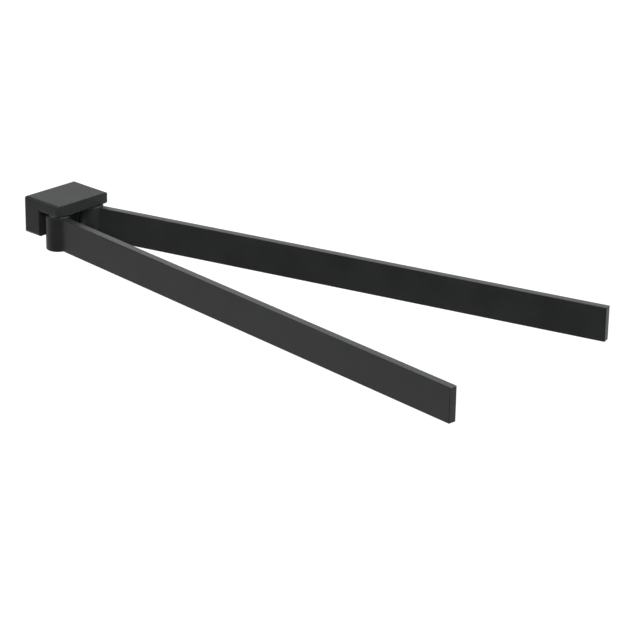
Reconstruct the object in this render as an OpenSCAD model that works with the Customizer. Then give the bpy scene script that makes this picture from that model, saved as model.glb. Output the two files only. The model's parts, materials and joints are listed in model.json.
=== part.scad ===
// Adjustable towel holder: two flat arms that swing on upright pivots under a wall bracket.
// Millimetres. X runs along the wall, -Y points away from it and Z is up.
// The origin is the middle of the bracket's face on the wall.

/* [Bracket] */
// Width of the bracket along the wall
bracket_w = 51; // [46.5:0.5:64]
// Distance from the wall to the front of the top plate
bracket_d = 35.5; // [34.5:0.5:46]
// Height of the bracket
bracket_h = 28.4; // [26:0.1:36]
// Thickness of the top plate that carries the pivots
plate_t = 9; // [8:0.5:11]
// Thickness of the foot that stands against the wall
foot_t = 15.5; // [14:0.5:16.5]
// Corner radius of the bracket's outline, seen from the front
outline_r = 2.8; // [1:0.1:3.4]
// Radius on the bracket's other outer edges
edge_r = 0.9; // [0.2:0.1:1.2]
// Fillet between the foot and the underside of the plate
inner_r = 1; // [0.4:0.1:1.4]

/* [Wall fixing] */
// Casting wall beside, above and below the pocket in the foot
pocket_wall = 3; // [2:0.25:4]
// Casting wall in front of the pocket
pocket_front = 3.5; // [2.5:0.25:5]
// Corner radius of the pocket
pocket_r = 1.5; // [0.5:0.25:2.5]
// Thickness of the plate that is screwed to the wall
wall_plate_t = 8; // [6:0.5:9]
// Distance between the two wall screws
wall_screw_pitch = 28; // [20:0.5:32]
// Radius of the wall screw holes
wall_screw_r = 2.5; // [1.75:0.25:3]
// Radius of the countersink for a wall screw's head
wall_screw_head_r = 4.8; // [4:0.1:5.4]
// Radius of the grub screw
grub_r = 2; // [1.5:0.25:2.25]
// Length of the grub screw
grub_len = 5; // [4:0.25:5.25]
// How far the grub screw's tip goes into the wall plate
grub_bite = 2.2; // [1.5:0.1:2.4]
// Width across the flats of the grub screw's socket
grub_key = 2; // [1.5:0.1:2]

/* [Barrels] */
// Outer radius of a barrel
barrel_r = 9; // [8.8:0.1:9.4]
// How far a barrel stands proud of the bracket's side and of its front
barrel_proud = 0.3; // [0:0.1:1]
// Radius on the barrel's rims
barrel_rim_r = 0.8; // [0.3:0.1:1.1]
// Wall of the barrel around the screw head's recess
cup_wall = 1.8; // [1.6:0.1:2]
// Depth of the flat that locates the arm on its barrel
seat_depth = 0.7; // [0.5:0.05:0.9]

/* [Pivot screws] */
// Radius of the shoulder that the bushes turn on
shoulder_r = 4; // [3.5:0.1:4.2]
// Radius of the thread in the top plate
thread_r = 3; // [2.5:0.1:3.2]
// Length of the thread
thread_len = 6.5; // [5:0.25:6.5]
// Radius of the screw's head
head_r = 6.5; // [6:0.1:6.6]
// Height of the screw's head
head_h = 4; // [3:0.25:5]
// Width across the flats of the head's socket
head_key = 4; // [3:0.5:5]
// Depth of the head's socket
head_key_depth = 2.6; // [1.5:0.1:2.8]

/* [Bushes and washers] */
// Wall of a bush
bush_wall = 1.5; // [1:0.1:1.7]
// Height left between the sleeves of the two bushes
bush_space = 2.7; // [1:0.1:5]
// Radius of a bush's flange
flange_r = 6.8; // [6.4:0.1:6.9]
// Thickness of a bush's flange
flange_t = 1; // [0.6:0.1:1.5]
// Radius of the washer between the barrel and the plate
thrust_r = 7; // [6.5:0.1:8]
// Thickness of the washer between the barrel and the plate
thrust_t = 0.6; // [0.5:0.1:1.5]
// Radius of the friction washer under the lower bush
friction_r = 6.7; // [6.2:0.1:6.8]
// Thickness of the friction washer
friction_t = 1; // [0.6:0.1:1.5]
// Outer radius of the disc spring
spring_r = 6.4; // [6:0.1:6.6]
// Height of the disc spring under load
spring_h = 1.2; // [1:0.1:1.6]
// Thickness of the disc spring's metal
spring_t = 0.7; // [0.5:0.05:0.8]

/* [Caps] */
// Thickness of the cap that closes the barrel from below
cap_t = 1.6; // [1:0.1:1.8]
// How far the cap sits up inside the barrel's rim
cap_inset = 0.2; // [0.1:0.05:0.4]
// Height of the skirt that grips inside the barrel
cap_skirt = 0.8; // [0.4:0.1:0.9]
// Wall of the cap's skirt
cap_skirt_wall = 1; // [0.6:0.1:1.2]
// Height of the room for the cap below the screw's head
cap_room = 3; // [2.9:0.1:4]

/* [Arms] */
// Length of an arm from its pivot axis to its tip
arm_len = 414; // [200:1:600]
// Height of an arm
arm_h = 25; // [20:0.5:34]
// Thickness of an arm
arm_t = 6; // [4:0.5:8]
// Radius on the arm's edges
arm_edge_r = 0.4; // [0.2:0.1:0.8]
// Distance from the top of the barrel down to the top of the arm
arm_drop = 0.9; // [0.4:0.1:1.5]
// Distance from the bottom of the barrel up to the bottom of the arm
arm_lift = 0.8; // [0.4:0.1:1.5]
// Angle of the left arm from straight out, positive to the right
left_angle = -5; // [-90:0.1:0]
// Angle of the right arm from straight out, positive to the right
right_angle = 15.3; // [0:0.1:90]

/* [Clearances] */
// Radial room between a bush and the shoulder that it turns on
running_gap = 0.05; // [0.02:0.01:0.1]
// Height between two flat faces that rub
rub_gap = 0.1; // [0.05:0.01:0.15]
// Room round a piece that is pressed, welded or stacked in its seat
seat_gap = 0.02; // [0.01:0.01:0.05]
// Radial room between a screw's thread and its tapped hole
thread_gap = 0.1; // [0.05:0.01:0.2]
// Room between the wall plate and the pocket that hangs on it
pocket_gap = 0.2; // [0.1:0.05:0.4]

/* [Hidden] */
$fn = 64;

// Cuts run this far past the faces that they open, and lengths of one piece this far into each other
over = 1;

// Pivot axes: the barrels stand just proud of the plate's sides and front
pivot_x = bracket_w / 2 - barrel_r + barrel_proud;
pivot_y = bracket_d - barrel_r + barrel_proud;

// Heights, from the top of the bracket down through one pivot
top_z = bracket_h / 2;
plate_z = top_z - plate_t;
barrel_top_z = plate_z - thrust_t - rub_gap;
arm_top_z = barrel_top_z - arm_drop;
arm_z = arm_top_z - arm_h;
barrel_z = arm_z - arm_lift;
barrel_h = barrel_top_z - barrel_z;
head_z = barrel_z + cap_room;
head_top_z = head_z + head_h;
friction_z = head_top_z + spring_h;
lower_flange_z = friction_z + friction_t + rub_gap;
cup_top_z = lower_flange_z + flange_t;
bush_len = (barrel_top_z - flange_t - cup_top_z - bush_space) / 2;

// Radii inside the barrel
bush_bore_r = shoulder_r + running_gap;
bush_r = bush_bore_r + bush_wall;
cup_r = barrel_r - cup_wall;
seat_y = barrel_r - seat_depth;

// Pocket in the foot, and the wall plate that fills it
pocket_w = bracket_w - 2 * pocket_wall;
pocket_h = bracket_h - 2 * pocket_wall;
pocket_d = foot_t - pocket_front;
wall_plate_w = pocket_w - 2 * pocket_gap;
wall_plate_h = pocket_h - 2 * pocket_gap;
grub_tip_z = grub_bite - wall_plate_h / 2;

// Colours
paint = [0.13, 0.135, 0.135];
steel = [0.62, 0.63, 0.64];
zinc = [0.55, 0.57, 0.6];
polymer = [0.86, 0.85, 0.8];
black_plastic = [0.08, 0.08, 0.085];

// Rectangle about the origin with round corners
module rounded_rect(w, h, r) {
    square([w - 2 * r, h], center = true);
    square([w, h - 2 * r], center = true);
    for (x = [-1, 1], y = [-1, 1]) {
        translate([x * (w / 2 - r), y * (h / 2 - r)])
            circle(r);
    }
}

// Extrudes a drawing of the X and Z axes along -Y, away from the wall
module away(length) {
    rotate([90, 0, 0])
        linear_extrude(length)
            children();
}

// Extrudes a drawing of the Y and Z axes along X, centred
module across(width) {
    rotate([90, 0, 90])
        linear_extrude(width, center = true)
            children();
}

// Regular hexagon measured across its flats
module hexagon(across_flats) {
    circle(across_flats / 2 / cos(30), $fn = 6);
}

// Ring about the Z axis, standing on height z
module ring(outer_r, inner_r, z, height) {
    translate([0, 0, z])
        difference() {
            cylinder(r = outer_r, h = height);
            translate([0, 0, -over])
                cylinder(r = inner_r, h = height + 2 * over);
        }
}

// Places a piece on the left (-1) or right (1) pivot axis
module at_pivot(side) {
    translate([side * pivot_x, -pivot_y, 0])
        children();
}

// Turns a piece with its arm, on its pivot axis
module with_arm(side) {
    at_pivot(side)
        rotate([0, 0, side < 0 ? left_angle : right_angle])
            children();
}

// The bracket's outline from the front: the whole of the foot, and the plate beyond it
module bracket_front_view() {
    away(foot_t)
        rounded_rect(bracket_w, bracket_h, outline_r);
    away(bracket_d)
        translate([0, plate_z + plate_t / 2])
            rounded_rect(bracket_w, plate_t, outline_r);
    across(bracket_w - 2 * outline_r)
        inner_fillet();
}

// The fillet under the plate, in the corner that it makes with the foot
module inner_fillet() {
    translate([-foot_t - inner_r, plate_z - inner_r])
        difference() {
            square(inner_r + edge_r);
            circle(inner_r);
        }
}

// The bracket's outline from the side
module bracket_side_view() {
    across(bracket_w) {
        translate([-foot_t / 2, 0])
            rounded_rect(foot_t, bracket_h, edge_r);
        translate([-bracket_d / 2, plate_z + plate_t / 2])
            rounded_rect(bracket_d, plate_t, edge_r);
        inner_fillet();
    }
}

// The bracket's outline from above
module bracket_plan() {
    translate([0, -bracket_d / 2, -bracket_h / 2])
        linear_extrude(bracket_h)
            rounded_rect(bracket_w, bracket_d, edge_r);
}

module bracket() {
    color(paint)
        difference() {
            intersection() {
                bracket_front_view();
                bracket_side_view();
                bracket_plan();
            }
            translate([0, over, 0])
                away(pocket_d + over)
                    rounded_rect(pocket_w, pocket_h, pocket_r);
            for (side = [-1, 1]) {
                at_pivot(side)
                    translate([0, 0, plate_z - over])
                        cylinder(r = thread_r + thread_gap, h = thread_len + thread_gap + over);
            }
            translate([0, -wall_plate_t / 2, -bracket_h / 2 - over])
                cylinder(r = grub_r + thread_gap, h = pocket_wall + 2 * over);
        }
}

module wall_plate() {
    // The countersink's 45 degree cone
    cone_h = wall_screw_head_r - wall_screw_r;
    color(zinc)
        difference() {
            away(wall_plate_t)
                rounded_rect(wall_plate_w, wall_plate_h, pocket_r - pocket_gap);
            for (side = [-1, 1]) {
                translate([side * wall_screw_pitch / 2, 0, 0])
                    rotate([90, 0, 0]) {
                        translate([0, 0, -over])
                            cylinder(r = wall_screw_r, h = wall_plate_t + 2 * over);
                        translate([0, 0, wall_plate_t - cone_h])
                            cylinder(r1 = wall_screw_r, r2 = wall_screw_head_r, h = cone_h);
                    }
            }
            translate([0, -wall_plate_t / 2, grub_tip_z - grub_bite - over])
                cylinder(r = grub_r + thread_gap, h = grub_bite + over);
        }
}

module grub_screw() {
    socket_depth = grub_len / 2;
    color(steel)
        translate([0, -wall_plate_t / 2, grub_tip_z - grub_len])
            difference() {
                cylinder(r = grub_r, h = grub_len);
                translate([0, 0, -over])
                    linear_extrude(socket_depth + over)
                        hexagon(grub_key);
            }
}

// Flat bar from its seat in the barrel to its tip, with its edges eased
module arm() {
    bar_len = arm_len - seat_y;
    color(paint)
        translate([0, 0, arm_z + arm_h / 2])
            intersection() {
                translate([0, -seat_y, 0])
                    away(bar_len)
                        rounded_rect(arm_t, arm_h, arm_edge_r);
                translate([0, -arm_len / 2, -arm_h / 2])
                    linear_extrude(arm_h)
                        rounded_rect(arm_t, arm_len, arm_edge_r);
                across(arm_t)
                    translate([-arm_len / 2, 0])
                        rounded_rect(arm_len, arm_h, arm_edge_r);
            }
}

// Half section of the barrel: bores for the bushes, a recess below for the screw's head
module barrel_section() {
    bore_r = bush_r + seat_gap;
    flange_seat_r = flange_r + seat_gap;
    difference() {
        translate([0, barrel_z + barrel_h / 2])
            intersection() {
                rounded_rect(2 * barrel_r, barrel_h, barrel_rim_r);
                translate([0, -barrel_h / 2])
                    square([barrel_r, barrel_h]);
            }
        translate([0, barrel_z - over])
            square([bore_r, barrel_h + 2 * over]);
        translate([0, barrel_z - over])
            square([cup_r, cup_top_z - barrel_z + over]);
        translate([0, barrel_top_z - flange_t])
            square([flange_seat_r, flange_t + over]);
    }
}

module barrel() {
    color(paint)
        difference() {
            rotate_extrude($fn = 96)
                barrel_section();
            // The flat and the two cheeks that hold the end of the arm
            translate([-arm_t / 2 - seat_gap, -barrel_r - over, arm_z - seat_gap])
                cube([arm_t + 2 * seat_gap, seat_depth + over, arm_h + 2 * seat_gap]);
        }
}

// Flanged bush with its flange on height z, and its sleeve running up (1) or down (-1)
module bush(z, way) {
    sleeve_z = way > 0 ? z : z - bush_len - flange_t;
    color(polymer) {
        ring(flange_r, bush_bore_r, way > 0 ? z : z - flange_t, flange_t);
        ring(bush_r, bush_bore_r, sleeve_z, bush_len + flange_t);
    }
}

module upper_bush() {
    bush(barrel_top_z, -1);
}

module lower_bush() {
    bush(lower_flange_z, 1);
}

module bottom_cap() {
    cap_r = cup_r - seat_gap;
    cap_z = barrel_z + cap_inset;
    color(black_plastic) {
        translate([0, 0, cap_z])
            cylinder(r = cap_r, h = cap_t);
        ring(cap_r, cap_r - cap_skirt_wall, cap_z + cap_t, cap_skirt);
    }
}

// Shoulder screw, put in from below: head, shoulder and the thread in the plate
module pivot_screw() {
    color(steel)
        difference() {
            union() {
                translate([0, 0, head_z])
                    cylinder(r = head_r, h = head_h);
                translate([0, 0, head_top_z - over])
                    cylinder(r = shoulder_r, h = plate_z - head_top_z + over);
                translate([0, 0, plate_z - over])
                    cylinder(r = thread_r, h = thread_len + over);
            }
            translate([0, 0, head_z - over])
                linear_extrude(head_key_depth + over)
                    hexagon(head_key);
        }
}

module thrust_washer() {
    color(steel)
        ring(thrust_r, bush_bore_r, plate_z - thrust_t, thrust_t);
}

module friction_washer() {
    color(polymer)
        ring(friction_r, bush_bore_r, friction_z, friction_t);
}

// Coned washer: its inner edge rests on the screw's head and its rim presses up
module disc_spring() {
    rise = spring_h - spring_t;
    color(steel)
        translate([0, 0, head_top_z])
            rotate_extrude()
                polygon([
                    [bush_bore_r, 0],
                    [spring_r, rise],
                    [spring_r, spring_h],
                    [bush_bore_r, spring_t]
                ]);
}

bracket();
wall_plate();
grub_screw();
with_arm(-1) arm();  // left_arm
with_arm(-1) barrel();  // left_barrel
with_arm(-1) upper_bush();  // left_upper_bush
with_arm(-1) lower_bush();  // left_lower_bush
with_arm(-1) bottom_cap();  // left_bottom_cap
at_pivot(-1) pivot_screw();  // left_pivot_screw
at_pivot(-1) thrust_washer();  // left_thrust_washer
at_pivot(-1) friction_washer();  // left_friction_washer
at_pivot(-1) disc_spring();  // left_disc_spring
with_arm(1) arm();  // right_arm
with_arm(1) barrel();  // right_barrel
with_arm(1) upper_bush();  // right_upper_bush
with_arm(1) lower_bush();  // right_lower_bush
with_arm(1) bottom_cap();  // right_bottom_cap
at_pivot(1) pivot_screw();  // right_pivot_screw
at_pivot(1) thrust_washer();  // right_thrust_washer
at_pivot(1) friction_washer();  // right_friction_washer
at_pivot(1) disc_spring();  // right_disc_spring
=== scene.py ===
"""Dresses the adjustable towel holder: finishes, weld fillets, screws, caps, studio and camera."""

import json
import math

import bpy
import numpy as np
from bpy.props import FloatProperty, FloatVectorProperty, IntProperty, PointerProperty
from bpy.types import Operator, Panel, PropertyGroup
from mathutils import Matrix, Vector


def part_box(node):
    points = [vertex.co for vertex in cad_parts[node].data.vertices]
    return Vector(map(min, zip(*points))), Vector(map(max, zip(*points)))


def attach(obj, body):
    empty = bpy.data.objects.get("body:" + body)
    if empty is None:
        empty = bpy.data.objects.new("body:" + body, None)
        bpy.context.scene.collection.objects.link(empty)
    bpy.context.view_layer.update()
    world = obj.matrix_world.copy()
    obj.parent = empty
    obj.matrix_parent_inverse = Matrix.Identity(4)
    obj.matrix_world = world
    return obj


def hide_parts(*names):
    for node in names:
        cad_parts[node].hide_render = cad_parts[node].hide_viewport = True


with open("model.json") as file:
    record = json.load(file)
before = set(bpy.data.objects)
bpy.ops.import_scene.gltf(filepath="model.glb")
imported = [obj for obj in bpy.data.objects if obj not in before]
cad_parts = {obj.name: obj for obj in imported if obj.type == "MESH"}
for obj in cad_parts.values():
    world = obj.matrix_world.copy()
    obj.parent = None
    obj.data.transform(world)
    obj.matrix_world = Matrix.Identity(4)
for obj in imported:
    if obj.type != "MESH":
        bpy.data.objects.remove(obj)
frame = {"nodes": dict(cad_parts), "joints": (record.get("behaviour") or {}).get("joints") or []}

bl_info = {
    "name": "Adjustable Towel Holder",
    "version": (1, 0, 0),
    "blender": (4, 5, 0),
    "location": "View3D > Sidebar > Towel Holder",
    "description": "Finishes a swivel-arm towel holder and sets it in a plain studio",
    "category": "Object",
}

SIDES = ("left", "right")

# Nodes by the finish that they share, the last two without the name of their side
CAST = ("bracket",)
BARS = ("left_arm", "left_barrel", "right_arm", "right_barrel")
SIDE_STEEL = ("pivot_screw", "thrust_washer", "disc_spring")
SIDE_POLYMER = ("upper_bush", "lower_bush", "friction_washer")

# Noises of the fine grain, as width in grains and detail: the grain, a coarser one and the clouds
GRAIN_NOISES = ((1.0, 2.0), (8.0, 2.0), (90.0, 3.0))
GRAIN_ROUGHNESS = 0.55
COARSE_WEIGHT = 0.6

# Between these lie most values of a noise
NOISE_LOW, NOISE_HIGH = 0.3, 0.7

# How far the clouds take a grained surface's colour, as a share of it, and its roughness
CLOUD_SHADE = 0.12
CLOUD_GLOSS = 0.03

# Turning marks: scale and detail of the noise in them, and the marks' weight beside it
JITTER = (900.0, 3.0)
MARK_WEIGHT = 0.25

# Steel: its colour's lowest and highest factor, its roughness there, and the marks' height
STEEL_TINTS = (0.88, 1.08)
STEEL_ROUGHNESS = (0.26, 0.38)
STEEL_MARKS = 0.000004

# Zinc: the same, its streaks' scale along X, Y and Z and share of the shade, and its grain
ZINC_TINTS = (0.84, 1.1)
ZINC_ROUGHNESS = (0.42, 0.3)
ZINC_MARKS = 0.000008
STREAK_SCALE = (60.0, 2600.0, 2600.0)
STREAK_SHARE = 0.4
ZINC_GRAIN = 0.0001

# Rounding of the arms' long edges, where a fillet stops, and its least share of its radius there
ARM_EDGE = 0.0004
LEAST_FILLET = 0.1

# Forms that a ring of a turned piece can have
ROUND, HEX, THREAD, KNURL = range(4)

# A thread as shares of its pitch: depth, width of the crest and of both flanks, bevels' extra
THREAD_DEPTH = 0.54
THREAD_CREST = 0.125
THREAD_FLANK = 0.625
BEVEL_EXTRA = 0.02

# Waves of the knurl, each of which makes two ridges
KNURL_WAVES = 18.0

# A cap's radius in radii of its small middle face, and the same for the grub screw's cup
CAP_MIDDLE = 12
CUP_MIDDLE = 6

# Edges of a turned piece sharper than this stay sharp in its shading
SHARP_DEGREES = 32.0

# Camera: width of the sensor in millimetres, and the distances between which it sees
SENSOR = 36.0
CLIP = (0.05, 50.0)

# Sweep: size, steps along the floor, round the bend and across, and greys out of and in sight
SWEEP_WIDTH, SWEEP_HEIGHT, SWEEP_BEND = 12.0, 6.0, 1.5
FLOOR_STEPS, BEND_STEPS, ACROSS_STEPS = 12, 17, 9
SWEEP_GREY, SWEEP_GREY_IN_SIGHT = 0.82, 0.3

ROOM_RADIUS = 9.0
LAMP_DISTANCE = 2.4
WHITE = (1.0, 1.0, 1.0)
COOL = (0.88, 1.0, 0.97)


def number_setting(name, description, default, low=0.0, high=1.0, **kind):
    """A setting that is one number. kind can say its subtype, unit and precision."""
    return FloatProperty(
        name=name, description=description, min=low, max=high, default=default, **kind
    )


def share_setting(name, description, default):
    """A setting from 0 to 1."""
    return number_setting(name, description, default, subtype="FACTOR")


def length_setting(name, description, default, low=0.0, high=0.1):
    """A setting that is a length in metres."""
    return number_setting(
        name, description, default, low, high, subtype="DISTANCE", unit="LENGTH", precision=5
    )


def colour_setting(name, description, default):
    """A setting that is a linear colour."""
    return FloatVectorProperty(
        name=name, description=description, subtype="COLOR", size=3, min=0.0, max=1.0,
        default=default,
    )


class PaintSettings(PropertyGroup):
    """The matt black powder coat"""

    colour: colour_setting("Colour", "Linear colour of the coat", (0.0162, 0.0166, 0.0165))
    cast_roughness: share_setting(
        "Cast roughness", "Mean roughness of the coat on the cast bracket", 0.48
    )
    bar_roughness: share_setting(
        "Bar roughness", "Mean roughness of the coat on the arms and barrels", 0.34
    )
    cast_reflection: share_setting(
        "Cast reflection", "Specular level of the coat on the cast bracket", 0.22
    )
    bar_reflection: share_setting(
        "Bar reflection", "Specular level of the coat on the arms and barrels", 0.24
    )
    grain_size: length_setting(
        "Grain size", "Width of one grain of the fine texture", 0.00034, 0.00005, 0.002
    )
    grain_height: length_setting(
        "Grain height", "Height of the fine texture", 0.00003, high=0.0001
    )


class MetalSettings(PropertyGroup):
    """The turned stainless steel and the zinc plated wall plate"""

    steel: colour_setting("Steel", "Linear colour of the stainless steel", (0.56, 0.57, 0.58))
    zinc: colour_setting("Zinc", "Linear colour of the zinc plating", (0.46, 0.48, 0.51))
    groove_pitch: length_setting(
        "Groove pitch", "Distance between turning marks", 0.00025, 0.00005, 0.002
    )


class PolymerSettings(PropertyGroup):
    """The acetal bushes and the moulded caps"""

    acetal: colour_setting("Acetal", "Linear colour of the bushes", (0.74, 0.73, 0.68))
    cap: colour_setting("Cap", "Linear colour of the caps", (0.011, 0.0112, 0.0115))


class WeldSettings(PropertyGroup):
    """The fillets between the arms and their barrels"""

    radius: length_setting("Radius", "Radius of the ground weld fillet", 0.0015, 0.0003, 0.002)
    sink: length_setting(
        "Sink", "How deep the fillet's back lies inside the parts", 0.00015, 0.00005, 0.0005
    )
    rings: IntProperty(
        name="Rings", description="Steps up the height of the fillet", min=4, max=400, default=60,
    )
    run_out: length_setting(
        "Run-out", "Length over which the fillet thins out at each end", 0.0012, 0.0002, 0.005
    )


class ScrewSettings(PropertyGroup):
    """The shoulder screws of the pivots and the grub screw"""

    pivot_pitch: length_setting("Pivot pitch", "Pitch of a pivot screw's thread", 0.001)
    pivot_thread: length_setting("Pivot thread", "Radius of a pivot screw's thread", 0.003)
    pivot_thread_length: length_setting(
        "Pivot thread length", "Length of a pivot screw's thread", 0.0065
    )
    undercut: length_setting(
        "Undercut", "Plain length between a pivot screw's shoulder and thread", 0.0008
    )
    shoulder: length_setting("Shoulder", "Radius of a pivot screw's shoulder", 0.004)
    head_height: length_setting("Head height", "Height of a pivot screw's head", 0.004)
    pivot_key: length_setting(
        "Pivot key", "Width across the flats of a pivot screw's socket", 0.004
    )
    pivot_key_depth: length_setting("Pivot key depth", "Depth of a pivot screw's socket", 0.0026)
    grub_pitch: length_setting("Grub pitch", "Pitch of the grub screw's thread", 0.0007)
    grub_key: length_setting(
        "Grub key", "Width across the flats of the grub screw's socket", 0.002
    )
    grub_key_depth: length_setting("Grub key depth", "Depth of the grub screw's socket", 0.0025)
    cup: length_setting("Cup", "Radius and depth of the hollow in the grub screw's tip", 0.0009)
    ease: length_setting("Ease", "Width of the eased edges", 0.00025)
    knurl: length_setting("Knurl", "Depth of the knurl on a pivot screw's head", 0.00012)


class CapSettings(PropertyGroup):
    """The moulded caps that close the barrels from below"""

    thickness: length_setting("Thickness", "Thickness of a cap's face", 0.0016)
    skirt_wall: length_setting("Skirt wall", "Wall of a cap's skirt", 0.001)
    edge_radius: length_setting("Edge radius", "Radius on the edge of a cap's face", 0.0004)


class StudioSettings(PropertyGroup):
    """The sweep, the lamps and the camera"""

    floor_drop: length_setting(
        "Floor drop", "Height of the part above the floor", 1.3, 0.3, 4.0
    )
    sweep_depth: length_setting(
        "Sweep depth", "Distance from the part back to the wall of the sweep", 4.0, 2.5, 10.0
    )
    floor_front: length_setting(
        "Floor front", "Distance from the part to the front edge of the floor", 1.15, high=4.0
    )
    floor_white: share_setting("Floor white", "Light that the sweep adds in reflections", 0.62)
    floor_in_sight: share_setting(
        "Floor in sight", "Light that the sweep adds in the camera's sight", 0.92
    )
    room: share_setting("Room", "Greyness of the dark room round the sweep", 0.09)
    light: number_setting(
        "Light", "Power of all the soft boxes together", 158.0, high=2000.0,
        subtype="POWER", unit="POWER",
    )
    azimuth: number_setting(
        "Azimuth", "Direction of the camera round the part, in degrees", -47.56, -180.0, 180.0
    )
    elevation: number_setting(
        "Elevation", "Height of the camera above the horizon, in degrees", 22.02, -90.0, 90.0
    )
    roll: number_setting(
        "Roll", "Turn of the camera about its line of sight, in degrees", 1.0, -10.0, 10.0
    )
    distance: length_setting("Distance", "Distance from the camera to its aim", 1.875, 0.5, 5.0)
    lens: number_setting(
        "Lens", "Focal length on a sensor 36 mm wide, in millimetres", 143.94, 20.0, 300.0
    )


class TowelHolderSettings(PropertyGroup):
    """Everything that a user would change"""

    paint: PointerProperty(type=PaintSettings)
    metal: PointerProperty(type=MetalSettings)
    polymer: PointerProperty(type=PolymerSettings)
    weld: PointerProperty(type=WeldSettings)
    screw: PointerProperty(type=ScrewSettings)
    cap: PointerProperty(type=CapSettings)
    studio: PointerProperty(type=StudioSettings)


def settings():
    """The settings on the current scene."""
    return bpy.context.scene.towel_holder


def pivot_of(side):
    """The pivot axis of one side, from its joint in the frame."""
    joint = next(j for j in frame["joints"] if j["child"] == f"{side}_arm")
    return Vector(joint["pos_m"])


def arm_direction(side):
    """Unit vector from a pivot towards its arm's tip, from the ends of the arm's mesh."""
    low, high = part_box(f"{side}_arm")
    pivot = pivot_of(side)
    towards = (low + high) / 2 - pivot
    return Vector((towards.x, towards.y, 0.0)).normalized()


def arm_half_thickness(side):
    """Half the arm's thickness: half its mesh's reach across its own direction."""
    along = arm_direction(side)
    across = np.array((-along.y, along.x, 0.0))
    mesh = frame["nodes"][f"{side}_arm"].data
    points = np.empty(len(mesh.vertices) * 3, np.float32)
    mesh.vertices.foreach_get("co", points)
    reach = (points.reshape(-1, 3) - np.array(pivot_of(side))) @ across
    return float(reach.max() - reach.min()) / 2


def dress(nodes, material):
    """Gives CAD nodes one material in all their slots."""
    for node in nodes:
        mesh = frame["nodes"][node].data
        mesh.materials.clear()
        mesh.materials.append(material)


def stacked(*parts):
    """Arrays spread to one shape, with their values side by side along a new last axis."""
    return np.stack(np.broadcast_arrays(*parts), axis=-1)


def grid_faces(rows, columns, closed=False):
    """Quads over a grid of rows x columns vertices. A closed one's last column meets its first."""
    r, c = np.meshgrid(np.arange(rows - 1), np.arange(columns - 1 + closed), indexing="ij")
    here, beside = r * columns + c, r * columns + (c + 1) % columns
    return stacked(here, beside, beside + columns, here + columns).reshape(-1, 4)


def tube_faces(rows, columns, turned_round=False):
    """Quads round a closed section carried over rows, and one face over each end."""
    ring = np.arange(columns)
    faces = [*grid_faces(rows, columns, closed=True), ring[::-1], ring + (rows - 1) * columns]
    return [face[::-1] for face in faces] if turned_round else faces


def mesh_object(name, points, faces, material):
    """A smooth mesh object at the origin from an array of points and a list of faces."""
    mesh = bpy.data.meshes.new(name)
    mesh.from_pydata(points.reshape(-1, 3).tolist(), [], [list(map(int, face)) for face in faces])
    mesh.polygons.foreach_set("use_smooth", np.ones(len(mesh.polygons), bool))
    mesh.materials.append(material)
    mesh.update()
    piece = bpy.data.objects.new(name, mesh)
    bpy.context.scene.collection.objects.link(piece)
    return piece


def rgba(colour, factor=1.0):
    """A colour as four numbers, made lighter or darker by a factor."""
    return (*(min(1.0, c * factor) for c in colour), 1.0)


class NodeSheet:
    """Adds nodes to a node tree and links them, each in one line."""

    def __init__(self, tree):
        self.tree = tree

    def add(self, kind, values=None, **attributes):
        """A node of one kind, with attributes set and sockets filled from values or links."""
        node = self.tree.nodes.new(kind)
        for name, value in attributes.items():
            setattr(node, name, value)
        for name, value in (values or {}).items():
            if isinstance(value, bpy.types.NodeSocket):
                self.tree.links.new(value, node.inputs[name])
            else:
                node.inputs[name].default_value = value
        return node

    def math(self, operation, *terms):
        """The outcome of a Math node on its terms."""
        return self.add("ShaderNodeMath", dict(enumerate(terms)), operation=operation).outputs[0]

    def colour_mix(self, factor, first, second):
        """The colour between first and second."""
        node = self.add("ShaderNodeMix", {0: factor, 6: first, 7: second}, data_type="RGBA")
        return node.outputs[2]

    def noise(self, vector, scale, detail, roughness=0.5):
        """The value of a noise texture."""
        values = {"Vector": vector, "Scale": scale, "Detail": detail, "Roughness": roughness}
        return self.add("ShaderNodeTexNoise", values).outputs[0]

    def bump(self, height, distance):
        """The normal of a height map whose full height is distance."""
        values = {"Height": height, "Distance": distance, "Strength": 1.0}
        return self.add("ShaderNodeBump", values).outputs[0]

    def group(self, name, **values):
        """The outputs of a shared group, placed with its own values."""
        return self.add("ShaderNodeGroup", values, node_tree=shared_group(name)).outputs

    def between(self, mask, low, high):
        """A value that follows a mask from low to high."""
        return self.group("between", Mask=mask, Low=low, High=high)["Value"]

    def surface(self, shader):
        """Ends a material in a shader."""
        self.add("ShaderNodeOutputMaterial", {"Surface": shader.outputs[0]})


def wire_grain(sheet, given):
    """Fine sprayed or moulded texture, and slow clouds.

    Height = the grain's noise + COARSE_WEIGHT * the coarser one's, each at 1 / (width * size).
    """
    place = given["Vector"]
    frequency = sheet.math("DIVIDE", 1.0, given["Size"])
    fine, coarse, cloud = (
        sheet.noise(place, sheet.math("DIVIDE", frequency, width), detail, GRAIN_ROUGHNESS)
        for width, detail in GRAIN_NOISES
    )
    return {"Height": sheet.math("MULTIPLY_ADD", coarse, COARSE_WEIGHT, fine), "Cloud": cloud}


def wire_between(sheet, given):
    """Spreads a mask that is a noise between a low and a high value."""
    values = {
        "Value": given["Mask"],
        "From Min": NOISE_LOW,
        "From Max": NOISE_HIGH,
        "To Min": given["Low"],
        "To Max": given["High"],
    }
    return {"Value": sheet.add("ShaderNodeMapRange", values).outputs[0]}


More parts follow.
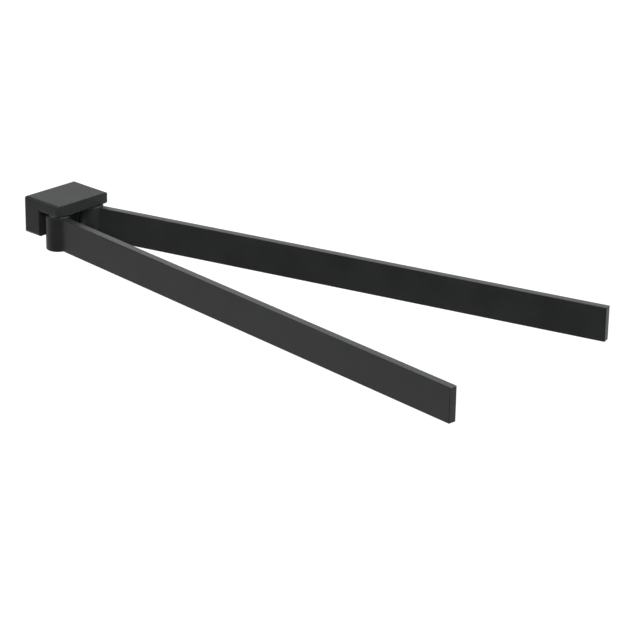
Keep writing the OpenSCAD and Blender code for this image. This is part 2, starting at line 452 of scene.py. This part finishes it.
def wire_turned(sheet, given):
    """Turning marks: rings about Z on flat faces, grooves up the sides.

    Height = noise + MARK_WEIGHT * (sine of the distance from the Z axis + sine of the height),
    with one wave in each pitch.
    """
    place = sheet.add("ShaderNodeSeparateXYZ", {"Vector": given["Vector"]}).outputs
    flat = sheet.add("ShaderNodeCombineXYZ", {"X": place["X"], "Y": place["Y"]}).outputs[0]
    radius = sheet.add("ShaderNodeVectorMath", {0: flat}, operation="LENGTH").outputs["Value"]
    rate = sheet.math("DIVIDE", 2.0 * math.pi, given["Pitch"])
    waves = (sheet.math("SINE", sheet.math("MULTIPLY", way, rate)) for way in (radius, place["Z"]))
    marks = sheet.math("ADD", *waves)
    noise = sheet.noise(given["Vector"], *JITTER)
    return {"Height": sheet.math("MULTIPLY_ADD", marks, MARK_WEIGHT, noise), "Cloud": noise}


# Shared groups: what fills each, its inputs with their defaults, a vector having none, its outputs
GROUPS = {
    "fine_grain": (wire_grain, {"Vector": None, "Size": 0.0003}, ("Height", "Cloud")),
    "between": (wire_between, {"Mask": 0.5, "Low": 0.0, "High": 1.0}, ("Value",)),
    "turned_marks": (wire_turned, {"Vector": None, "Pitch": 0.00025}, ("Height", "Cloud")),
}


def shared_group(name):
    """The shader node group of one name from GROUPS, made at its first use."""
    if name in bpy.data.node_groups:
        return bpy.data.node_groups[name]
    wire, inputs, outputs = GROUPS[name]
    tree = bpy.data.node_groups.new(name, "ShaderNodeTree")
    for socket, default in inputs.items():
        kind = "NodeSocketVector" if default is None else "NodeSocketFloat"
        made = tree.interface.new_socket(name=socket, in_out="INPUT", socket_type=kind)
        if default is not None:
            made.default_value = default
    for socket in outputs:
        tree.interface.new_socket(name=socket, in_out="OUTPUT", socket_type="NodeSocketFloat")
    sheet = NodeSheet(tree)
    sheet.add("NodeGroupOutput", wire(sheet, sheet.add("NodeGroupInput").outputs))
    return tree


def cleared(owner):
    """The sheet of a material or a world, with nothing on it."""
    owner.use_nodes = True
    owner.node_tree.nodes.clear()
    return NodeSheet(owner.node_tree)


def new_material(name):
    """A material, its empty sheet and its object coordinates."""
    material = bpy.data.materials.new(name)
    sheet = cleared(material)
    return material, sheet, sheet.add("ShaderNodeTexCoord").outputs["Object"]


def grained_material(
    name, colour, roughness, grain_size, grain_height, specular, shade=CLOUD_SHADE
):
    """A sprayed or moulded surface: fine grain in the normal, slow clouds in colour and gloss."""
    material, sheet, place = new_material(name)
    grain = sheet.group("fine_grain", Vector=place, Size=grain_size)
    clouds = sheet.between(grain["Cloud"], 0.0, 1.0)
    tints = (rgba(colour, 1.0 - shade), rgba(colour, 1.0 + shade))
    smoother, rougher = roughness - CLOUD_GLOSS, roughness + CLOUD_GLOSS
    shader = sheet.add("ShaderNodeBsdfPrincipled", {
        "Base Color": sheet.colour_mix(clouds, *tints),
        "Roughness": sheet.between(grain["Cloud"], smoother, rougher),
        "Normal": sheet.bump(grain["Height"], grain_height),
        "Specular IOR Level": specular,
    })
    sheet.surface(shader)
    return material


def turned_steel(name, centre):
    """Bright turned stainless steel, with its marks round an upright axis at centre."""
    metal = settings().metal
    material, sheet, place = new_material(name)
    moved = sheet.add("ShaderNodeMapping", {"Vector": place, "Location": tuple(-centre)}).outputs[0]
    marks = sheet.group("turned_marks", Vector=moved, Pitch=metal.groove_pitch)
    tints = (rgba(metal.steel, factor) for factor in STEEL_TINTS)
    shader = sheet.add("ShaderNodeBsdfPrincipled", {
        "Base Color": sheet.colour_mix(marks["Cloud"], *tints),
        "Roughness": sheet.between(marks["Cloud"], *STEEL_ROUGHNESS),
        "Normal": sheet.bump(marks["Height"], STEEL_MARKS),
        "Metallic": 1.0,
    })
    sheet.surface(shader)
    return material


def zinc_plate():
    """Zinc plating on rolled sheet: fine streaks along the sheet, and slow clouds in the film."""
    metal = settings().metal
    material, sheet, place = new_material("zinc_plating")
    rolled = sheet.add("ShaderNodeMapping", {"Vector": place, "Scale": STREAK_SCALE}).outputs[0]
    streaks = sheet.noise(rolled, 1.0, 3.0)
    grain = sheet.group("fine_grain", Vector=place, Size=ZINC_GRAIN)
    clouds = sheet.math("MULTIPLY", grain["Cloud"], 1.0 - STREAK_SHARE)
    mottle = sheet.math("MULTIPLY_ADD", streaks, STREAK_SHARE, clouds)
    tints = (rgba(metal.zinc, factor) for factor in ZINC_TINTS)
    shader = sheet.add("ShaderNodeBsdfPrincipled", {
        "Base Color": sheet.colour_mix(sheet.between(mottle, 0.0, 1.0), *tints),
        "Roughness": sheet.between(mottle, *ZINC_ROUGHNESS),
        "Normal": sheet.bump(streaks, ZINC_MARKS),
        "Metallic": 1.0,
    })
    sheet.surface(shader)
    return material


def fillet_sections(radius, sink, half_thickness, barrel_radius, steps=12):
    """Outlines of the weld's fillet between an arm's side and its barrel, as (x, y) points.

    There is one outline for each radius given. Its arc is tangent to the arm's side
    x = half_thickness and to the barrel's circle, with its centre at x = half_thickness + radius,
    barrel_radius + radius from the axis. The outline closes through a point inside both parts.
    """
    radius = radius[:, None]
    centre_x = half_thickness + radius
    centre_y = np.sqrt((barrel_radius + radius) ** 2 - centre_x**2)
    barrel_angle = np.arctan2(-centre_y, -centre_x)
    angles = -math.pi + (barrel_angle + math.pi) * np.linspace(0.0, 1.0, steps)
    arc = stacked(centre_x + radius * np.cos(angles), centre_y + radius * np.sin(angles))
    corner_y = math.sqrt(barrel_radius**2 - half_thickness**2)
    heel = np.full_like(arc[:, :1], (half_thickness - sink, corner_y - sink))
    side_foot = arc[:, :1] - (sink, 0.0)
    barrel_foot = arc[:, -1:] * (1.0 - sink / barrel_radius)
    return np.concatenate((side_foot, arc, barrel_foot, heel), axis=1)


def weld_fillets(side):
    """Both fillets of one arm: the outlines of fillet_sections stacked up the arm's height.

    A point is pivot + x across + y along + z up, with across square to the arm, once with x as
    it is and once with x turned round. Over run_out at each end the radius falls as a quarter
    circle: radius * sqrt(1 - (1 - distance / run_out) ** 2).
    """
    weld = settings().weld
    pivot = pivot_of(side)
    along = arm_direction(side)
    across = Vector((-along.y, along.x, 0.0))
    low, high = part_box(f"{side}_arm")
    barrel_low, barrel_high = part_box(f"{side}_barrel")
    barrel_radius = (barrel_high.x - barrel_low.x) / 2
    rise = (1.0 - np.cos(np.linspace(0.0, math.pi, weld.rings))) / 2.0
    heights = low.z + ARM_EDGE + (high.z - low.z - 2.0 * ARM_EDGE) * rise
    to_end = np.minimum(heights - heights[0], heights[-1] - heights)
    thinning = np.sqrt(1.0 - (1.0 - np.minimum(to_end / weld.run_out, 1.0)) ** 2)
    radius = weld.radius * np.maximum(thinning, LEAST_FILLET)
    sections = fillet_sections(radius, weld.sink, arm_half_thickness(side), barrel_radius)
    columns = sections.shape[1]
    points, faces = [], []
    for turn in (1.0, -1.0):
        fillet = turn * sections[..., :1] * np.array(across) + sections[..., 1:] * np.array(along)
        fillet += np.array(pivot)
        fillet[..., 2] = heights[:, None]
        first = len(points) * weld.rings * columns
        faces += [face + first for face in tube_faces(weld.rings, columns, turned_round=turn > 0)]
        points.append(fillet)
    coat = bpy.data.materials["bar_coat"]
    return mesh_object(f"{side}_weld_fillet", np.array(points), faces, coat)


def turned_surface(rings, crest, pitch, knurl, columns=144):
    """A piece turned about the Z axis, from rows of (radius, height, form).

    A round ring keeps its radius. A hexagonal one's is radius / cos(angle from the nearest flat's
    middle). A threaded one's is the smaller of its radius and crest - THREAD_DEPTH * pitch * wave,
    where wave is a trapezoid in height / pitch - angle / full turn. A knurled one's is
    radius - knurl * |sin(KNURL_WAVES * angle)|.
    """
    radius, height, form = (rings[:, i:i + 1] for i in range(3))
    angle = np.linspace(0.0, 2.0 * math.pi, columns, endpoint=False)[None, :]
    from_flat = angle % (math.pi / 3) - math.pi / 6
    turn = (height / pitch - angle / (2.0 * math.pi)) % 1.0
    wave = np.clip((np.abs(2.0 * turn - 1.0) - THREAD_CREST) / THREAD_FLANK, 0.0, 1.0)
    threaded = np.minimum(radius, crest - THREAD_DEPTH * pitch * wave)
    knurled = radius - knurl * np.abs(np.sin(KNURL_WAVES * angle))
    reach = np.select(
        [form == HEX, form == THREAD, form == KNURL],
        [radius / np.cos(from_flat), threaded, knurled],
        radius,
    )
    return stacked(reach * np.cos(angle), reach * np.sin(angle), height)


def thread_rings(bottom, top, crest, pitch, steps=14):
    """Rings of a thread, with both ends bevelled at 45 degrees to just below its root."""
    heights = np.linspace(bottom, top, round((top - bottom) / pitch * steps))
    bevel = (THREAD_DEPTH + BEVEL_EXTRA) * pitch
    from_end = np.minimum(heights - bottom, top - heights)
    envelope = crest - np.maximum(bevel - from_end, 0.0)
    return stacked(envelope, heights, THREAD)


def socket_rings(bottom, key, depth, ease):
    """Rings of a hexagonal socket that opens downwards, from its floor to its bevelled mouth."""
    corner = key / 2 / math.cos(math.pi / 6)
    return np.array([
        (key / 2, bottom + depth, HEX),
        (key / 2, bottom + ease, HEX),
        (corner + ease / 2, bottom, ROUND),
    ])


def pivot_screw_rings(low, high, screw):
    """Rings of a shoulder screw that stands on its head, from its socket's floor to its tip."""
    head = (high.x - low.x) / 2
    head_top = low.z + screw.head_height
    thread_z = high.z - screw.pivot_thread_length
    root = screw.pivot_thread - THREAD_DEPTH * screw.pivot_pitch
    ease = screw.ease
    body = np.array([
        (head - 2 * ease, low.z, ROUND),
        (head, low.z + 2 * ease, KNURL),
        (head, head_top - ease, KNURL),
        (head - ease, head_top, ROUND),
        (screw.shoulder, head_top, ROUND),
        (screw.shoulder, thread_z - ease, ROUND),
        (screw.shoulder - ease, thread_z, ROUND),
        (root, thread_z, ROUND),
    ])
    socket = socket_rings(low.z, screw.pivot_key, screw.pivot_key_depth, ease)
    thread = thread_rings(
        thread_z + screw.undercut, high.z, screw.pivot_thread, screw.pivot_pitch
    )
    return np.concatenate((socket, body, thread))


def grub_screw_rings(low, high, screw):
    """Rings of the grub screw, from its socket's floor up its thread to the cup in its tip."""
    radius = (high.x - low.x) / 2
    socket = socket_rings(low.z, screw.grub_key, screw.grub_key_depth, screw.ease)
    thread = thread_rings(low.z, high.z, radius, screw.grub_pitch)
    cup = np.array([
        (screw.cup, high.z, ROUND),
        (screw.cup / CUP_MIDDLE, high.z - screw.cup, ROUND),
    ])
    return np.concatenate((socket, thread, cup))


def cap_rings(low, high, cap, steps=7):
    """Rings of a moulded cap, from the middle of its face round its edge and inside its skirt."""
    radius = (high.x - low.x) / 2
    middle = radius / CAP_MIDDLE
    inside = radius - cap.skirt_wall
    angles = np.linspace(0.0, math.pi / 2, steps)
    edge = stacked(
        radius - cap.edge_radius + cap.edge_radius * np.sin(angles),
        low.z + cap.edge_radius - cap.edge_radius * np.cos(angles),
        ROUND,
    )
    face = np.array([(middle, low.z, ROUND), (radius / 2, low.z, ROUND)])
    skirt = np.array([
        (radius, high.z, ROUND),
        (inside, high.z, ROUND),
        (inside, low.z + cap.thickness, ROUND),
        (middle, low.z + cap.thickness, ROUND),
    ])
    return np.concatenate((face, edge, skirt))


def turned_piece(name, node, rings, crest=1.0, pitch=1.0, knurl=0.0):
    """A closed turned piece on the upright axis of the CAD node that it stands for."""
    low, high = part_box(node)
    axis = ((low.x + high.x) / 2, (low.y + high.y) / 2, 0.0)
    points = turned_surface(rings, crest, pitch, knurl) + axis
    material = frame["nodes"][node].data.materials[0]
    piece = mesh_object(name, points, tube_faces(*points.shape[:2]), material)
    piece.data.set_sharp_from_angle(angle=math.radians(SHARP_DEGREES))
    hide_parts(node)
    return piece


class TOWEL_OT_paint(Operator):
    """Coats the bracket, the arms and the barrels in matt black"""

    bl_idname = "towel.paint"
    bl_label = "Paint"

    def execute(self, context):
        paint = settings().paint
        coats = (
            (CAST, "cast_coat", paint.cast_roughness, paint.cast_reflection),
            (BARS, "bar_coat", paint.bar_roughness, paint.bar_reflection),
        )
        for nodes, name, roughness, reflection in coats:
            coat = grained_material(
                name, paint.colour, roughness, paint.grain_size, paint.grain_height, reflection
            )
            dress(nodes, coat)
        return {"FINISHED"}


class TOWEL_OT_metals(Operator):
    """Finishes the screws, the washers and the wall plate"""

    bl_idname = "towel.metals"
    bl_label = "Metals"

    def execute(self, context):
        for side in SIDES:
            steel = turned_steel(f"{side}_turned_steel", pivot_of(side))
            dress([f"{side}_{name}" for name in SIDE_STEEL], steel)
        low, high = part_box("grub_screw")
        dress(["grub_screw"], turned_steel("grub_turned_steel", (low + high) / 2))
        dress(["wall_plate"], zinc_plate())
        return {"FINISHED"}


class TOWEL_OT_polymers(Operator):
    """Finishes the bushes, the friction washers and the caps"""

    bl_idname = "towel.polymers"
    bl_label = "Polymers"

    def execute(self, context):
        polymer = settings().polymer
        acetal = grained_material(
            "acetal", polymer.acetal, roughness=0.38, grain_size=0.0005, grain_height=0.000002,
            specular=0.5, shade=0.03,
        )
        moulded = grained_material(
            "moulded_black", polymer.cap, roughness=0.55, grain_size=0.0004,
            grain_height=0.00001, specular=0.4,
        )
        for side in SIDES:
            dress([f"{side}_{name}" for name in SIDE_POLYMER], acetal)
            dress([f"{side}_bottom_cap"], moulded)
        return {"FINISHED"}


class TOWEL_OT_screws(Operator):
    """Adds the threaded pivot screws and the threaded grub screw"""

    bl_idname = "towel.screws"
    bl_label = "Screws"

    def execute(self, context):
        screw = settings().screw
        for side in SIDES:
            node = f"{side}_pivot_screw"
            rings = pivot_screw_rings(*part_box(node), screw)
            piece = turned_piece(
                f"{side}_threaded_screw", node, rings,
                screw.pivot_thread, screw.pivot_pitch, screw.knurl,
            )
            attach(piece, "bracket")
        low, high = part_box("grub_screw")
        rings = grub_screw_rings(low, high, screw)
        piece = turned_piece(
            "threaded_grub_screw", "grub_screw", rings, (high.x - low.x) / 2, screw.grub_pitch
        )
        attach(piece, "bracket")
        return {"FINISHED"}


class TOWEL_OT_caps(Operator):
    """Adds the moulded caps, with rounded edges, that close the barrels"""

    bl_idname = "towel.caps"
    bl_label = "Caps"

    def execute(self, context):
        for side in SIDES:
            node = f"{side}_bottom_cap"
            piece = turned_piece(
                f"{side}_moulded_cap", node, cap_rings(*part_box(node), settings().cap)
            )
            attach(piece, f"{side}_arm")
        return {"FINISHED"}


class TOWEL_OT_weld_fillets(Operator):
    """Adds the painted fillets that join each arm to its barrel"""

    bl_idname = "towel.weld_fillets"
    bl_label = "Weld Fillets"

    def execute(self, context):
        for side in SIDES:
            piece = weld_fillets(side)
            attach(piece, f"{side}_arm")
        return {"FINISHED"}


def view_back(azimuth, elevation):
    """Unit vector from the part towards the camera."""
    a, e = math.radians(azimuth), math.radians(elevation)
    return Vector((math.sin(a) * math.cos(e), -math.cos(a) * math.cos(e), math.sin(e)))


class TOWEL_OT_camera(Operator):
    """Places the camera at the photographed angle and distance"""

    bl_idname = "towel.camera"
    bl_label = "Camera"

    # The point on the part that the camera aims at
    AIM = Vector((0.08316, -0.2, -0.05867))

    def execute(self, context):
        studio = settings().studio
        back = view_back(studio.azimuth, studio.elevation)
        data = bpy.data.cameras.new("camera")
        data.lens = studio.lens
        data.sensor_width = SENSOR
        data.clip_start, data.clip_end = CLIP
        camera = bpy.data.objects.new("camera", data)
        turn = (-back).to_track_quat("-Z", "Y").to_matrix().to_4x4()
        roll = Matrix.Rotation(math.radians(studio.roll), 4, "Z")
        camera.matrix_world = Matrix.Translation(self.AIM + back * studio.distance) @ turn @ roll
        context.scene.collection.objects.link(camera)
        context.scene.camera = camera
        return {"FINISHED"}


def white_in_sight(sheet, seen=1.0, reflected=1.0):
    """seen for the camera's rays, reflected for those of a reflection or a clear piece, else 0."""
    path = sheet.add("ShaderNodeLightPath").outputs
    indirect = sheet.math("MAXIMUM", path["Is Glossy Ray"], path["Is Transmission Ray"])
    direct = sheet.math("MULTIPLY", path["Is Camera Ray"], seen)
    return sheet.math("MAXIMUM", direct, sheet.math("MULTIPLY", indirect, reflected))


def sweep_white(seen, reflected):
    """Matt white that adds light in sight and in reflections, and is clear from the back."""
    material = bpy.data.materials.new("sweep_white")
    sheet = cleared(material)
    in_sight = sheet.add("ShaderNodeLightPath").outputs["Is Camera Ray"]
    greys = (rgba(WHITE, grey) for grey in (SWEEP_GREY, SWEEP_GREY_IN_SIGHT))
    matt = sheet.add("ShaderNodeBsdfDiffuse", {"Color": sheet.colour_mix(in_sight, *greys)})
    glow = sheet.add("ShaderNodeEmission", {"Strength": white_in_sight(sheet, seen, reflected)})
    both = sheet.add("ShaderNodeAddShader", {0: matt.outputs[0], 1: glow.outputs[0]})
    behind = sheet.add("ShaderNodeNewGeometry").outputs["Backfacing"]
    clear = sheet.add("ShaderNodeBsdfTransparent")
    sided = {0: behind, 1: both.outputs[0], 2: clear.outputs[0]}
    sheet.surface(sheet.add("ShaderNodeMixShader", sided))
    return material


def room_dark(grey):
    """The room's plain grey."""
    material = bpy.data.materials.new("room_dark")
    sheet = cleared(material)
    sheet.surface(sheet.add("ShaderNodeBsdfDiffuse", {"Color": rgba(WHITE, grey)}))
    return material


def sweep_surface(front, back, floor_z):
    """The studio sweep: floor, quarter round and wall, as a profile carried across its width.

    The profile runs along the floor to back - SWEEP_BEND, turns up through a quarter circle of
    that radius, and climbs to SWEEP_HEIGHT. The sweep is centred on the origin, its wall at +Y.
    """
    foot = back - SWEEP_BEND
    floor = stacked(np.linspace(-front, foot, FLOOR_STEPS), 0.0)
    angles = np.linspace(0.0, math.pi / 2, BEND_STEPS)[1:]
    bend = stacked(foot + SWEEP_BEND * np.sin(angles), SWEEP_BEND - SWEEP_BEND * np.cos(angles))
    profile = np.concatenate((floor, bend, [(back, SWEEP_HEIGHT)]))
    across = np.linspace(-SWEEP_WIDTH / 2, SWEEP_WIDTH / 2, ACROSS_STEPS)[:, None]
    return stacked(across, profile[:, 0], profile[:, 1] + floor_z)


def room_surface(radius, rows=24, columns=48):
    """The dark room: a sphere about the origin, as latitude and longitude angles, poles closed.

    A point is radius * (cos(lat) cos(lon), cos(lat) sin(lon), sin(lat)).
    """
    lat = np.linspace(-math.pi / 2, math.pi / 2, rows)[:, None]
    lon = np.linspace(0.0, 2.0 * math.pi, columns, endpoint=False)
    level = radius * np.cos(lat)
    return stacked(level * np.cos(lon), level * np.sin(lon), radius * np.sin(lat))


def area_lamp(name, place, aim, size, power, colour):
    """A square soft box of one size in metres, facing aim."""
    data = bpy.data.lights.new(name, "AREA")
    data.shape = "SQUARE"
    data.size = size
    data.energy = power
    data.color = colour
    lamp = bpy.data.objects.new(name, data)
    lamp.location = place
    lamp.rotation_euler = (aim - place).to_track_quat("-Z", "Y").to_euler()
    lamp.visible_camera = False
    bpy.context.scene.collection.objects.link(lamp)


class TOWEL_OT_stage(Operator):
    """Builds the pale sweep, the soft lamps and the studio's dim surroundings"""

    bl_idname = "towel.stage"
    bl_label = "Stage"

    # Soft boxes: direction from the camera's azimuth, elevation, width, share of the light, colour
    LAMPS = {
        "camera_box": (0.0, 45.0, 1.2, 0.27, WHITE),
        "camera_low_box": (0.0, 22.0, 0.6, 0.07, WHITE),
        "front_low_box": (45.0, 8.0, 1.2, 0.12, COOL),
        "left_low_box": (-45.0, 8.0, 1.2, 0.035, WHITE),
        "key_box": (98.0, 44.0, 0.5, 0.25, COOL),
        "right_back_box": (140.0, 42.0, 0.8, 0.16, WHITE),
        "back_low_box": (180.0, 12.0, 1.2, 0.013, WHITE),
        "left_back_box": (-90.0, 8.0, 1.2, 0.035, WHITE),
        "left_high_box": (-90.0, 45.0, 1.2, 0.08, WHITE),
    }

    # The point near the middle of the arms that the lamps face
    AIM = Vector((0.0, -0.2, 0.0))

    def execute(self, context):
        studio = settings().studio
        self.build_sweep(studio)
        self.build_room(studio)
        self.build_world(context)
        self.build_lamps(studio)
        context.scene.view_settings.view_transform = "Standard"
        return {"FINISHED"}

    def build_sweep(self, studio):
        """The floor and the wall behind the part, square to the camera's view."""
        points = sweep_surface(studio.floor_front, studio.sweep_depth, -studio.floor_drop)
        turn = np.array(Matrix.Rotation(math.radians(studio.azimuth), 3, "Z"))
        faces = grid_faces(*points.shape[:2])[:, ::-1]
        white = sweep_white(studio.floor_in_sight, studio.floor_white)
        sweep = mesh_object("studio_sweep", points @ turn.T, faces, white)

    def build_room(self, studio):
        """The dark room round the sweep, which the camera looks through."""
        points = room_surface(ROOM_RADIUS)
        faces = grid_faces(*points.shape[:2], closed=True)[:, ::-1]
        room = mesh_object("studio_room", points, faces, room_dark(studio.room))
        room.visible_camera = False
        room.visible_shadow = False

    def build_world(self, context):
        """White where the camera or a reflection sees past the sweep, and black otherwise."""
        world = bpy.data.worlds.new("studio")
        sheet = cleared(world)
        values = {"Color": rgba(WHITE), "Strength": white_in_sight(sheet)}
        sky = sheet.add("ShaderNodeBackground", values)
        sheet.add("ShaderNodeOutputWorld", {"Surface": sky.outputs[0]})
        context.scene.world = world

    def build_lamps(self, studio):
        """Soft boxes round the part, all at LAMP_DISTANCE from the point that they face."""
        for name, (azimuth, elevation, width, share, colour) in self.LAMPS.items():
            place = self.AIM + view_back(studio.azimuth + azimuth, elevation) * LAMP_DISTANCE
            area_lamp(name, place, self.AIM, width, studio.light * share, colour)


class TOWEL_PT_panel(Panel):
    """Lists the pieces, the stage and their settings"""

    bl_idname = "TOWEL_PT_panel"
    bl_label = "Towel Holder"
    bl_space_type = "VIEW_3D"
    bl_region_type = "UI"
    bl_category = "Towel Holder"

    def draw(self, context):
        layout = self.layout
        for group_name in TowelHolderSettings.__annotations__:
            group = getattr(context.scene.towel_holder, group_name)
            box = layout.box()
            for name in group.__annotations__:
                box.prop(group, name)
        for operator in OPERATORS:
            layout.operator(operator.bl_idname)


SETTINGS = (
    PaintSettings, MetalSettings, PolymerSettings, WeldSettings, ScrewSettings, CapSettings,
    StudioSettings, TowelHolderSettings,
)
OPERATORS = (
    TOWEL_OT_camera, TOWEL_OT_stage, TOWEL_OT_paint, TOWEL_OT_metals, TOWEL_OT_polymers,
    TOWEL_OT_weld_fillets, TOWEL_OT_screws, TOWEL_OT_caps,
)


def register():
    """Registers the settings, the operators and the panel."""
    for cls in (*SETTINGS, *OPERATORS, TOWEL_PT_panel):
        bpy.utils.register_class(cls)
    bpy.types.Scene.towel_holder = PointerProperty(type=TowelHolderSettings)


def unregister():
    """Takes away what register added."""
    del bpy.types.Scene.towel_holder
    for cls in reversed((*SETTINGS, *OPERATORS, TOWEL_PT_panel)):
        bpy.utils.unregister_class(cls)


def main():
    """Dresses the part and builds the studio."""
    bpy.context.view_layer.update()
    register()
    bpy.ops.towel.camera()
    bpy.ops.towel.stage()
    bpy.ops.towel.paint()
    bpy.ops.towel.metals()
    bpy.ops.towel.polymers()
    bpy.ops.towel.weld_fillets()
    bpy.ops.towel.screws()
    bpy.ops.towel.caps()


if __name__ == "__main__":
    main()
